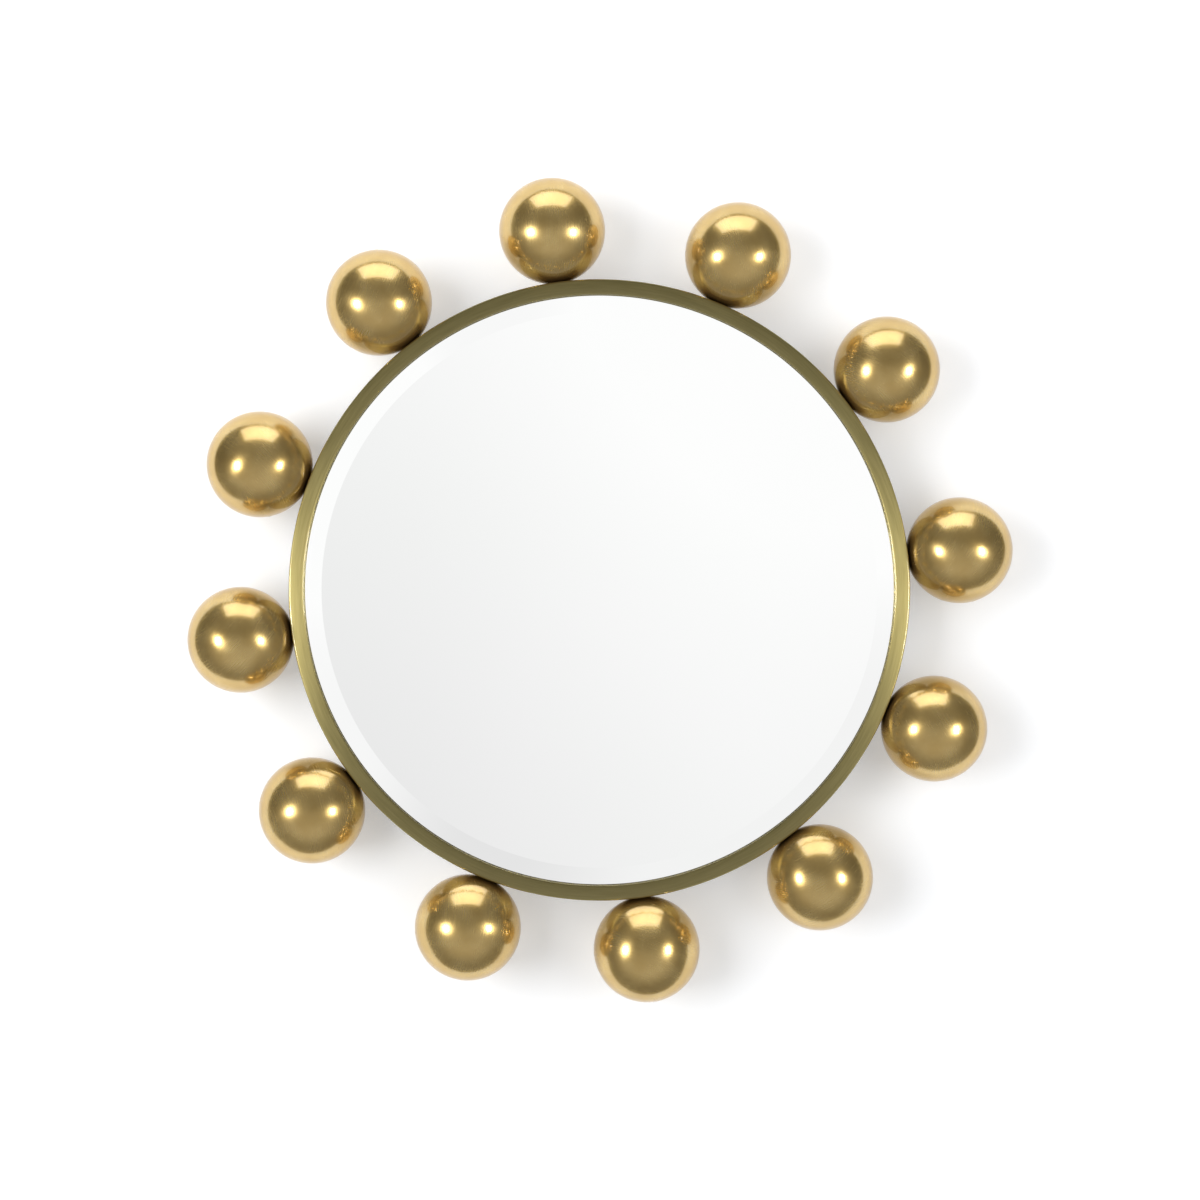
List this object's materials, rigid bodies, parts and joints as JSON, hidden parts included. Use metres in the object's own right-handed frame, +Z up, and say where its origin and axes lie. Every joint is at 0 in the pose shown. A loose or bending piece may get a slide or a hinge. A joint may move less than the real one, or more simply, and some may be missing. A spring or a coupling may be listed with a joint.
{
  "type": "round wall mirror",
  "caption": "Round bevelled wall mirror in a brass hoop ringed by hollow brass balls, hung on a hooked wall rail.",
  "frame": {"origin": "on the mirror's axis, in the plane of the ball centres, half way through the hoop's depth", "axes": "+X to the viewer's right, +Z up, +Y from the viewer to the wall; the mirror faces -Y"},
  "size_m": [0.8058, 0.106, 0.8052],
  "materials": {
    "hoop_brass": "brushed satin, lacquered",
    "ball_brass": "satin polished, lacquered",
    "turned_brass": "machined",
    "silvered_glass": "polished, bevelled, silvered at the back",
    "gasket_rubber": "matte",
    "mastic": "matte",
    "painted_board": "fibreboard painted matte black",
    "batten_wood": "planed softwood",
    "rail_aluminium": "extruded, mill finish",
    "zinc_steel": "bright zinc plated",
    "bumper_rubber": "matte"
  },
  "bodies": {
    "wall": {"wall_rail": "rail_aluminium"},
    "mirror": {"frame_hoop": "hoop_brass", "glazing_gasket": "gasket_rubber", "mirror_glass": "silvered_glass", "mastic_pads": "mastic", "backing_board": "painted_board", "ball_01": "ball_brass", "ball_02": "ball_brass", "ball_03": "ball_brass", "ball_04": "ball_brass", "ball_05": "ball_brass", "ball_06": "ball_brass", "ball_07": "ball_brass", "ball_08": "ball_brass", "ball_09": "ball_brass", "ball_10": "ball_brass", "ball_11": "ball_brass", "ball_12": "ball_brass", "ball_bushes": "turned_brass", "ball_studs": "zinc_steel", "ball_washers": "zinc_steel", "ball_nuts": "zinc_steel", "retaining_tab_1": "hoop_brass", "retaining_tab_2": "hoop_brass", "retaining_tab_3": "hoop_brass", "retaining_tab_4": "hoop_brass", "retaining_tab_5": "hoop_brass", "retaining_tab_6": "hoop_brass", "tab_screws": "zinc_steel", "upper_batten": "batten_wood", "lower_batten": "batten_wood", "batten_screws": "zinc_steel", "mirror_rail": "rail_aluminium", "rail_screws": "zinc_steel", "left_bumper": "bumper_rubber", "right_bumper": "bumper_rubber", "bumper_screws": "zinc_steel"}
  },
  "joints": [
    {"name": "lift_off", "type": "slide", "parent": "wall", "child": "mirror", "axis": [0, 0, 1], "range_m": [0, 0.013]}
  ]
}
